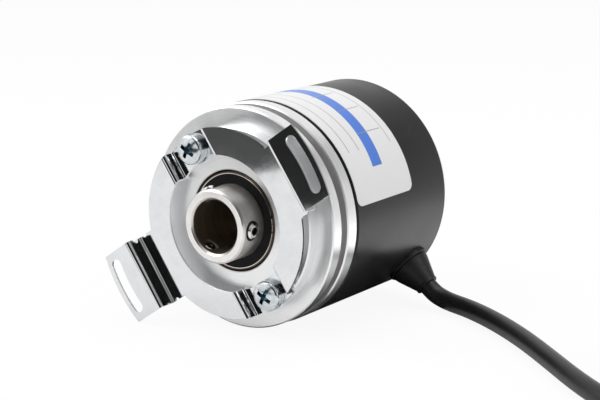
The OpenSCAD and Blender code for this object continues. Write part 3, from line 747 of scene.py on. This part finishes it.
def spring_steel():
    """Rolled strip, nearly a mirror: faint grain one way, slow waves, hairline scratches, smudges,
    and painted shade along the ring's outer edge, where the gap under the sheet lies. The right tab
    sprang back a little when it was bent, so it shades as if it leaned outwards."""
    m = Shader("spring_steel", {"Metallic": 1.0})
    along, y, across = m.rolled()
    falls = m.math("MULTIPLY", m.math("MAXIMUM", along, TAB_FROM), -1.0)
    lean = m.relief(falls, 0.05)
    streaks = m.join(m.math("MULTIPLY", along, 0.12), y, m.math("MULTIPLY", across, 5))
    grain = m.noise(streaks, 1.0, 4.0, 0.65)
    smudge = m.noise(m.place, 0.22, 3.0, 0.55)
    stretched = m.join(m.math("MULTIPLY", along, 0.25), 0.0, m.math("MULTIPLY", across, 4))
    hairs = m.cells(stretched, 0.35, "DISTANCE_TO_EDGE")
    scratch = m.span(hairs, 0.0, 0.006, 1.0, 0.0)
    colour = m.mix(m.span(smudge, 0.35, 0.7), grey(0.78, -0.014), grey(0.74, -0.01))
    colour = m.mix(m.span(grain, 0.42, 0.62, 0.0, 0.14), colour, grey(0.58, -0.014))
    shine = m.math("ADD", m.span(smudge, 0.35, 0.7, 0.055, 0.085), m.math("MULTIPLY", scratch, 0.06))
    # Painted shade: dark along the ring's outer edge, but not on the tabs.
    ring_edge_shade = m.span(m.radius(), RING_R - 0.05, RING_R - 0.01)
    on_ring = m.span(m.math("ABSOLUTE", across), TAB_HALF + 0.2, TAB_HALF + 0.4)
    colour = m.mix(m.math("MULTIPLY", ring_edge_shade, on_ring), colour, grey(0.03))
    waves = m.relief(m.noise(m.place, 0.06, 1.0), 0.012, 0.3, lean)
    return m.set(Base_Color=colour, Roughness=shine, Normal=m.relief(grain, 0.0015, 0.35, waves))


def plated_steel(name, dark, light, rough, warm):
    """Bright plating with a fine cloudy grain and darker specks in the hollows."""
    m = Shader(name, {"Metallic": 1.0})
    cloud = m.noise(m.place, 0.9, 4.0, 0.6)
    specks = m.noise(m.place, 9.0, 3.0, 0.7)
    colour = m.mix(m.span(cloud, 0.35, 0.65), grey(dark, warm), grey(light, warm))
    colour = m.mix(m.span(specks, 0.6, 0.72, 0.0, 0.35), colour, grey(dark * 0.5, warm))
    shine = m.span(specks, 0.3, 0.7, rough * 0.8, rough * 1.4)
    return m.set(Base_Color=colour, Roughness=shine, Normal=m.relief(specks, 0.006, 0.4))


def zinc_steel():
    """Blue zinc plate, with darker, bluer painted shade in the cross recesses of the two coupling screws.
    """
    m = Shader("zinc_steel", {"Metallic": 1.0})
    along, y, across = m.rolled()
    off_centre = m.math("SUBTRACT", m.math("ABSOLUTE", across), COUPLING_SCREW_R)
    from_screw = m.vector("LENGTH", m.join(along, off_centre, 0.0), (0, 0, 0))
    dome = m.math("MULTIPLY", m.math("MULTIPLY", from_screw, from_screw), 0.5 / SCREW_DOME_R)
    under_dome = m.math("SUBTRACT", m.math("SUBTRACT", y, SCREW_HEAD_Y), dome)
    # Painted shade: darker and bluer down in the screws' cross recesses.
    recess_r = 2.3
    recess_shade = m.math("MULTIPLY", m.span(from_screw, recess_r - 0.05, recess_r + 0.05, 1.0, 0.0),
                    m.span(under_dome, 0.08, 0.2))
    cloud = m.noise(m.place, 0.9, 4.0, 0.6)
    specks = m.noise(m.place, 9.0, 3.0, 0.7)
    plate = m.mix(m.span(cloud, 0.35, 0.65), (0.56, 0.61, 0.64), (0.7, 0.73, 0.75))
    colour = m.mix(recess_shade, plate, (0.09, 0.17, 0.21))
    return m.set(Base_Color=colour, Roughness=m.span(specks, 0.3, 0.7, 0.11, 0.2),
                 Normal=m.relief(specks, 0.002, 0.4))


def set_screw_steel():
    """Bright steel, with painted brown shade down in the hexagon sockets."""
    m = Shader("set_screw_steel", {"Metallic": 1.0})
    cloud = m.noise(m.place, 0.9, 4.0, 0.6)
    specks = m.noise(m.place, 9.0, 3.0, 0.7)
    socket_r = 1.2
    face_r = 10.1
    # Painted shade: brown down in the hexagon sockets, which are rougher too.
    socket = m.math("MULTIPLY", m.span(m.off_set_screw(), socket_r - 0.05, socket_r + 0.05, 1.0, 0.0),
                    m.span(m.radius(), face_r - 0.3, face_r - 0.1, 1.0, 0.0))
    steel = m.mix(m.span(cloud, 0.35, 0.65), grey(0.66, 0.02), grey(0.78, 0.02))
    socket_shade = m.mix(specks, (0.12, 0.09, 0.05), (0.2, 0.15, 0.09))
    shine = m.math("ADD", m.span(specks, 0.3, 0.7, 0.1, 0.18), m.math("MULTIPLY", socket, 0.2))
    return m.set(Base_Color=m.mix(socket, steel, socket_shade), Roughness=shine,
                 Normal=m.relief(specks, 0.006, 0.4))


def dark_spring_steel():
    return plated_steel("dark_spring_steel", 0.16, 0.24, 0.3, 0.01)


def blackened_steel():
    return plated_steel("blackened_steel", 0.06, 0.1, 0.34, 0.0)


def crimp_steel():
    return plated_steel("crimp_steel", 0.5, 0.64, 0.26, 0.0)


def stainless_steel():
    """The turned shaft, warmer than the flange. Its mouth's face is painted lighter than its side, a
    painted highlight, and is smoother, and its side is ground and rougher. The countersinks of the set
    screws are painted black, a painted shade, and the bore is dull and brown."""
    m = Shader("stainless_steel", {"Metallic": 1.0, "Anisotropic": 0.4, "Anisotropic Rotation": 0.25})
    m.round_grain()
    rings = m.noise(m.turned(), 3.2, 4.0, 0.6)
    patches = m.noise(m.place, 0.25, 3.0)
    # Painted highlight: the mouth's face is a lighter copy of the side's steel.
    face = m.mix(m.span(patches, 0.35, 0.65), grey(0.76, 0.03), grey(0.81, 0.024))
    side = m.mix(m.span(patches, 0.35, 0.65), grey(0.64, 0.035), grey(0.72, 0.028))
    side = m.mix(m.span(rings, 0.4, 0.65, 0.0, 0.2), side, grey(0.45, 0.035))
    y = m.split()["Y"]
    on_face = m.span(y, MOUTH_Y + 0.05, MOUTH_Y + 0.15, 1.0, 0.0)
    outside = m.mix(on_face, side, face)
    # Painted shade: black in the set screws' countersinks.
    sink_r = SET_SCREW_R + 0.57
    near_screw = m.span(m.off_set_screw(), sink_r - 0.05, sink_r + 0.05, 1.0, 0.0)
    countersink_shade = m.math("MULTIPLY", near_screw, m.span(m.radius(), COLLAR_R - 1.1, COLLAR_R - 1))
    outside = m.mix(countersink_shade, outside, grey(0.05, 0.1))
    bore = m.mix(m.span(rings, 0.35, 0.65), (0.3, 0.25, 0.19), (0.4, 0.34, 0.27))
    inside = m.span(m.radius(), BORE_R + 0.02, BORE_R + 0.12, 1.0, 0.0)
    shine = m.math("ADD", m.span(rings, 0.3, 0.7, 0.19, 0.25), m.math("MULTIPLY", inside, 0.2))
    ground = m.math("MULTIPLY", m.math("SUBTRACT", 1.0, on_face), m.math("SUBTRACT", 1.0, inside))
    shine = m.math("SUBTRACT", shine, m.math("MULTIPLY", on_face, 0.06))
    shine = m.math("ADD", shine, m.math("MULTIPLY", ground, 0.14))
    return m.set(Base_Color=m.mix(inside, outside, bore), Roughness=shine,
                 Normal=m.relief(rings, 0.002, 0.4))


def bearing_balls():
    m = Shader("bearing_balls", {"Metallic": 1.0})
    haze = m.noise(m.place, 1.5, 2.0)
    colour = m.mix(haze, grey(0.7), grey(0.8))
    return m.set(Base_Color=colour, Roughness=m.span(haze, 0.3, 0.7, 0.03, 0.07))


def pillar_brass():
    m = Shader("pillar_brass", {"Metallic": 1.0})
    cloud = m.noise(m.place, 0.8, 4.0)
    colour = m.mix(m.span(cloud, 0.3, 0.7), (0.62, 0.44, 0.18), (0.8, 0.62, 0.3))
    cuts = m.noise(m.join(0.0, m.split()["Y"], 0.0), 6.0, 2.0)
    return m.set(Base_Color=colour, Roughness=m.span(cloud, 0.3, 0.7, 0.2, 0.34),
                 Normal=m.relief(cuts, 0.01, 0.4))


def gold_plate():
    m = Shader("gold_plate", {"Metallic": 1.0})
    cloud = m.noise(m.place, 1.6, 3.0)
    colour = m.mix(cloud, (0.78, 0.56, 0.2), (0.88, 0.7, 0.36))
    return m.set(Base_Color=colour, Roughness=m.span(cloud, 0.3, 0.7, 0.14, 0.28))


def moulded(name, colour, light, rough, grain_scale, grain_depth, specular=0.5):
    """Moulded plastic or rubber: an even colour with faint clouds, and a fine grain in the skin."""
    m = Shader(name, {"Specular IOR Level": specular})
    cloud = m.noise(m.place, 0.15, 3.0)
    grain = m.noise(m.place, grain_scale, 3.0, 0.6)
    dust = m.span(m.noise(m.place, 1.3, 5.0, 0.75), 0.62, 0.78, 0.0, 0.5)
    base = m.mix(m.span(cloud, 0.3, 0.7), colour, light)
    base = m.mix(m.math("MULTIPLY", dust, 0.3), base, tuple(min(1, 1.6 * c + 0.01) for c in light))
    shine = m.span(grain, 0.3, 0.7, rough * 0.85, rough * 1.15)
    return m.set(Base_Color=base, Roughness=shine, Normal=m.relief(grain, grain_depth, 0.5))


def seal_rubber():
    return moulded("seal_rubber", grey(0.006), grey(0.009), 0.5, 3.0, 0.01, 0.12)


def gland_rubber():
    return moulded("gland_rubber", grey(0.008), grey(0.012), 0.46, 2.0, 0.02, 0.3)


def black_moulding():
    return moulded("black_moulding", grey(0.02), grey(0.028), 0.5, 4.0, 0.012)


def tie_nylon():
    return moulded("tie_nylon", grey(0.018), grey(0.026), 0.38, 2.5, 0.01)


def cage_polyamide():
    return moulded("cage_polyamide", (0.46, 0.3, 0.14), (0.54, 0.37, 0.18), 0.42, 3.0, 0.012)


def header_resin():
    return moulded("header_resin", (0.74, 0.68, 0.52), (0.8, 0.74, 0.6), 0.45, 3.0, 0.01)


def plug_resin():
    return moulded("plug_resin", (0.8, 0.79, 0.72), (0.85, 0.84, 0.78), 0.4, 3.0, 0.01)


def cable_jacket():
    """Extruded jacket: satin, with the faint lengthwise unevenness of its drawing."""
    m = Shader("cable_jacket", {"Specular IOR Level": 0.35})
    skin = m.noise(m.place, 1.4, 4.0, 0.65)
    slow = m.noise(m.place, 0.12, 2.0)
    scuff = m.span(m.noise(m.place, 0.7, 5.0, 0.8), 0.62, 0.75)
    base = m.mix(m.span(slow, 0.3, 0.7), grey(0.009, 0.02), grey(0.014, 0.02))
    base = m.mix(m.math("MULTIPLY", scuff, 0.25), base, grey(0.05))
    shine = m.math("ADD", m.span(skin, 0.3, 0.7, 0.33, 0.42), m.math("MULTIPLY", scuff, 0.1))
    return m.set(Base_Color=base, Roughness=shine, Normal=m.relief(skin, 0.03, 0.4))


def black_paint():
    """Satin stove paint: orange peel, slow unevenness, and a few hairline scratches."""
    m = Shader("black_paint", {"Specular IOR Level": 0.36})
    peel = m.noise(m.place, 1.1, 2.0, 0.55)
    fine = m.noise(m.place, 5.0, 2.0)
    slow = m.noise(m.place, 0.06, 3.0)
    base = m.mix(m.span(slow, 0.3, 0.7), grey(0.007), grey(0.011))
    hairs = m.cells(m.vector("MULTIPLY", m.place, (1, 0.2, 1)), 0.09, "DISTANCE_TO_EDGE")
    scratched = m.span(m.noise(m.place, 0.15), 0.52, 0.62)
    scratch = m.math("MULTIPLY", m.span(hairs, 0.0, 0.0022, 1.0, 0.0), scratched)
    base = m.mix(m.math("MULTIPLY", scratch, 0.35), base, grey(0.12))
    shine = m.math("ADD", m.span(slow, 0.3, 0.7, 0.30, 0.38), m.math("MULTIPLY", scratch, 0.1))
    skin = m.relief(m.math("ADD", peel, m.math("MULTIPLY", fine, 0.25)), 0.03, 0.35)
    return m.set(Base_Color=base, Roughness=shine, Normal=skin)


def label_film():
    """White film with a blue band of cells and blank rules, and no lettering. Places on it are
    degrees round the shaft from a tab's middle, and millimetres along the shaft."""
    m = Shader("label_film", {"Specular IOR Level": 0.5})
    _, y, _ = m.split()
    a = m.math("SUBTRACT", m.angle(), math.degrees(ROLL))

    def between(value, low, high, soft):
        above = m.span(value, low - soft, low + soft)
        below = m.span(value, high - soft, high + soft, 1.0, 0.0)
        return m.math("MULTIPLY", above, below)

    fibres = m.noise(m.place, 1.5, 4.0)
    paper = m.mix(fibres, grey(0.76), grey(0.8))
    band_from = -8.4
    band_to = 53.0
    band_front = 21.1
    band_back = 25.4
    band_slant = 2.9
    cell = 16.5
    lines = m.math("MODULO", m.math("ADD", a, 92.5), cell)
    divider = m.math("MULTIPLY", between(lines, 3.6, 4.1, 0.12), between(y, 22.5, 32.3, 0.06))
    slant = m.math("SUBTRACT", y, m.span(a, band_from, band_to, 0.0, band_slant, smooth=False))
    band = m.math("MULTIPLY", between(slant, band_front, band_back, 0.08),
                  m.span(a, band_from - 0.12, band_from + 0.12))
    paint = m.mix(band, paper, (0.075, 0.2, 0.66))
    rule = between(y, 33.1, 33.35, 0.05)
    for place in (14.2, 18.6):
        rule = m.math("MAXIMUM", rule, between(y, place, place + 0.3, 0.05))
    rule = m.math("MULTIPLY", rule, m.span(a, 1.5, 1.8))
    rule = m.math("MAXIMUM", rule, m.math("MULTIPLY", divider, m.span(a, 0.0, 0.3)))
    paint = m.mix(m.math("MULTIPLY", rule, 0.85), paint, grey(0.3))
    return m.set(Base_Color=paint, Roughness=m.span(fibres, 0.3, 0.7, 0.28, 0.36),
                 Normal=m.relief(fibres, 0.01, 0.2))


def board_laminate():
    """Green lacquer over copper tracks that run round and across the board."""
    m = Shader("board_laminate", {})
    rings = m.math("FRACT", m.math("MULTIPLY", m.radius(), 0.55))
    gaps = m.noise(m.place, 0.35, 0.0)
    track = m.math("MULTIPLY", m.span(rings, 0.3, 0.36), m.span(gaps, 0.46, 0.48))
    lacquer = m.mix(m.noise(m.place, 0.5, 3.0), (0.008, 0.085, 0.032), (0.012, 0.11, 0.045))
    colour = m.mix(track, lacquer, (0.03, 0.19, 0.07))
    return m.set(Base_Color=colour, Roughness=m.span(gaps, 0.3, 0.7, 0.24, 0.34),
                 Normal=m.relief(track, 0.035, 0.6))


def disc_glass():
    """Clear disc with a chromium track of fine radial lines and a reference ring."""
    m = Shader("disc_glass", {"Transmission Weight": 0.85, "IOR": 1.5})
    r = m.radius()
    line_count = 250
    wave = m.math("SINE", m.math("MULTIPLY", m.angle(), math.radians(line_count)))
    lines = m.span(wave, -0.1, 0.1)
    track = m.math("MULTIPLY", m.span(r, 15.9, 16.0), m.span(r, 18.3, 18.4, 1.0, 0.0))
    ring = m.math("MULTIPLY", m.span(r, 14.9, 15.0), m.span(r, 15.2, 15.3, 1.0, 0.0))
    chrome = m.math("MAXIMUM", m.math("MULTIPLY", track, lines), ring)
    haze = m.noise(m.place, 0.4, 2.0)
    clear = m.mix(haze, (0.9, 0.95, 0.96), (0.86, 0.92, 0.93))
    return m.set(Base_Color=m.mix(chrome, clear, grey(0.04)),
                 Roughness=m.span(haze, 0.3, 0.7, 0.03, 0.08))


def lamp_resin():
    m = Shader("lamp_resin", {"Transmission Weight": 0.8, "IOR": 1.55})
    haze = m.noise(m.place, 0.8, 2.0)
    colour = m.mix(haze, (0.78, 0.76, 0.9), (0.84, 0.82, 0.93))
    return m.set(Base_Color=colour, Roughness=m.span(haze, 0.3, 0.7, 0.04, 0.1))


def capacitor_can():
    m = Shader("capacitor_can", {"Metallic": 1.0})
    fine = m.noise(m.place, 2.5, 3.0)
    colour = m.mix(fine, grey(0.62), grey(0.74))
    return m.set(Base_Color=colour, Roughness=m.span(fine, 0.3, 0.7, 0.25, 0.38),
                 Normal=m.relief(fine, 0.01, 0.3))


def wire_insulation(name, colour):
    """One lead's insulation, a little darker in places."""
    m = Shader(name, {})
    skin = m.noise(m.place, 1.2, 3.0)
    shade = tuple(c * 0.75 for c in colour)
    return m.set(Base_Color=m.mix(skin, shade, colour), Roughness=m.span(skin, 0.3, 0.7, 0.3, 0.42),
                 Normal=m.relief(skin, 0.01, 0.3))


def bundled_wires():
    """Insulation of the wires inside, whose colour changes round the bundle."""
    m = Shader("wire_insulation", {})
    x, _, z = m.split()
    share = m.noise(m.join(x, 0.0, z), 0.35, 0.0)
    colour = m.shades(m.span(share, 0.3, 0.7, smooth=False), *WIRE_COLOURS)
    skin = m.noise(m.place, 1.2, 3.0)
    return m.set(Base_Color=colour, Roughness=m.span(skin, 0.3, 0.7, 0.3, 0.42),
                 Normal=m.relief(skin, 0.01, 0.3))


WIRE_COLOURS = [
    (0.45, 0.02, 0.015), (0.012, 0.012, 0.012), (0.03, 0.22, 0.05), (0.75, 0.5, 0.03),
    (0.03, 0.1, 0.4), (0.7, 0.7, 0.68),
]


def tinned_copper():
    """Bare ends: strands twisted together and dipped in solder."""
    m = Shader("tinned_copper", {"Metallic": 1.0})
    strands = m.noise(m.vector("MULTIPLY", m.place, (0.6, 3, 3)), 1.5, 2.0)
    colour = m.mix(strands, grey(0.5), grey(0.72))
    return m.set(Base_Color=colour, Roughness=m.span(strands, 0.3, 0.7, 0.2, 0.35),
                 Normal=m.relief(strands, 0.06, 0.6))


def floor_paper():
    """Diffuse paper under the lamps. The camera sees mostly its plain white, and mirrors partly."""
    m = Shader("floor_paper", {"Specular IOR Level": 0.0})
    fibres = m.noise(m.place, 0.8, 3.0)
    m.set(Base_Color=m.mix(fibres, grey(0.9), grey(0.92)), Roughness=m.span(fibres, 0.0, 1.0, 0.85, 0.95))
    white = m.tree.nodes.new("ShaderNodeEmission")
    white.inputs["Strength"].default_value = 1.0
    rays = m.tree.nodes.new("ShaderNodeLightPath")
    mirrored = m.math("MAXIMUM", rays.outputs["Is Glossy Ray"], rays.outputs["Is Transmission Ray"])
    camera_share = 0.92
    mirror_share = 0.35
    seen = m.math("MAXIMUM", m.math("MULTIPLY", rays.outputs["Is Camera Ray"], camera_share),
                  m.math("MULTIPLY", mirrored, mirror_share))
    blend = m.tree.nodes.new("ShaderNodeMixShader")
    m.feed(blend.inputs[0], seen)
    m.feed(blend.inputs[1], m.surface.outputs["BSDF"])
    m.feed(blend.inputs[2], white.outputs["Emission"])
    m.feed(m.tree.nodes["Material Output"].inputs["Surface"], blend.outputs["Shader"])
    return m.material


def dim_room():
    """The dark floor beyond the paper, a little lighter beside the paper than further away."""
    m = Shader("dim_room", {"Specular IOR Level": 0.0, "Roughness": 1.0})
    x, y, _ = m.split()
    near = m.span(m.math("SUBTRACT", y, m.math("MULTIPLY", x, 0.9)), -112.0, -90.0)
    floor_tone = m.mix(m.noise(m.place, 0.03, 3.0), grey(0.018), grey(0.024))
    near_tone = m.mix(m.noise(m.place, 0.05, 3.0), grey(0.065), grey(0.085))
    return m.set(Base_Color=m.mix(near, floor_tone, near_tone))


def studio_card(name, tone, glow=0.0):
    """A card of an even tone, which gives off light too when it glows."""
    m = Shader(name, {"Specular IOR Level": 0.0, "Roughness": 1.0, "Emission Strength": glow})
    return m.set(Base_Color=m.mix(m.noise(m.place, 0.01), grey(tone * 0.8), grey(tone * 1.2)))


# One material for each of the record's slots
by_slot = {
    make.__name__: make()
    for make in (
        turned_aluminium, spring_steel, zinc_steel, stainless_steel, set_screw_steel, bearing_steel,
        bearing_balls, cage_polyamide, seal_rubber, dark_spring_steel, disc_glass, black_moulding,
        lamp_resin, gold_plate, board_laminate, capacitor_can, header_resin, plug_resin,
        pillar_brass, black_paint, blackened_steel, label_film, gland_rubber, cable_jacket,
        crimp_steel, tie_nylon,
    )
}
by_slot["wire_insulation"] = bundled_wires()

for part in frame["record"]["subparts"]:
    materials = NODES[part["node"]].data.materials
    materials.clear()
    materials.append(by_slot[part["material_slot"]])

cable.data.materials.append(by_slot["cable_jacket"])
tie.data.materials.append(by_slot["tie_nylon"])
label.data.materials.append(by_slot["label_film"])
for number, colour in enumerate(WIRE_COLOURS):
    leads.data.materials.append(wire_insulation(f"lead_insulation_{number}", colour))
leads.data.materials.append(tinned_copper())
floor.data.materials.append(floor_paper())
dark_room.data.materials.append(dim_room())
floor_shade.data.materials.append(studio_card("grey_card", 0.12))
white_card.data.materials.append(studio_card("white_card", 0.8, 0.9))

# ---- studio ----


def make_world():
    """White to the camera and an even light on the parts. Glossy surfaces see a studio that is white
    all round and dimmer above, and dark ahead of the encoder but for a white screen there."""
    world = bpy.data.worlds.new("studio")
    bpy.context.scene.world = world
    world.use_nodes = True
    tree = world.node_tree

    def node(kind):
        return tree.nodes.new(kind)

    def span(value, low, high, out_low=0.0, out_high=1.0):
        bridge = node("ShaderNodeMapRange")
        bridge.interpolation_type = "SMOOTHSTEP"
        tree.links.new(value, bridge.inputs["Value"])
        ends = {"From Min": low, "From Max": high, "To Min": out_low, "To Max": out_high}
        for socket, number in ends.items():
            bridge.inputs[socket].default_value = number
        return bridge.outputs["Result"]

    def product(a, b):
        times = node("ShaderNodeMath")
        times.operation = "MULTIPLY"
        tree.links.new(a, times.inputs[0])
        tree.links.new(b, times.inputs[1])
        return times.outputs["Value"]

    def weighted(a, share, b):
        total = node("ShaderNodeMath")
        total.operation = "MULTIPLY_ADD"
        tree.links.new(a, total.inputs[0])
        total.inputs[1].default_value = share
        tree.links.new(b, total.inputs[2])
        return total.outputs["Value"]

    def background(strength):
        light = node("ShaderNodeBackground")
        light.inputs["Color"].default_value = (1, 1, 1, 1)
        light.inputs["Strength"].default_value = strength
        return light

    def either(share, a, b):
        blend = node("ShaderNodeMixShader")
        tree.links.new(share, blend.inputs[0])
        tree.links.new(a.outputs[0], blend.inputs[1])
        tree.links.new(b.outputs[0], blend.inputs[2])
        return blend

    # The dark patch lies ahead of the encoder and below a slanting line, and the screen is inside it
    direction = node("ShaderNodeSeparateXYZ")
    tree.links.new(node("ShaderNodeTexCoord").outputs["Generated"], direction.inputs[0])
    ahead = span(direction.outputs["Y"], -0.6, -0.4, 1.0, 0.0)
    low = span(weighted(direction.outputs["X"], -1.0, direction.outputs["Z"]), 0.48, 0.62, 1.0, 0.0)
    dimmer_above = span(weighted(direction.outputs["X"], 0.6, direction.outputs["Z"]), 0.1, 0.7, 1.0, 0.4)
    beside_screen = span(direction.outputs["Y"], -0.985, -0.95)
    dark = product(product(ahead, low), beside_screen)
    bright = span(dark, 0.0, 1.0, 1.0, 0.02)
    studio = background(1.0)
    tree.links.new(product(bright, dimmer_above), studio.inputs["Strength"])
    rays = node("ShaderNodeLightPath")
    lit = either(rays.outputs["Is Glossy Ray"], background(0.36), studio)
    lit = either(rays.outputs["Is Transmission Ray"], lit, studio)
    lit = either(rays.outputs["Is Camera Ray"], lit, background(1.0))
    tree.links.new(lit.outputs[0], tree.nodes["World Output"].inputs["Surface"])


make_world()
bpy.context.scene.view_settings.view_transform = "Standard"
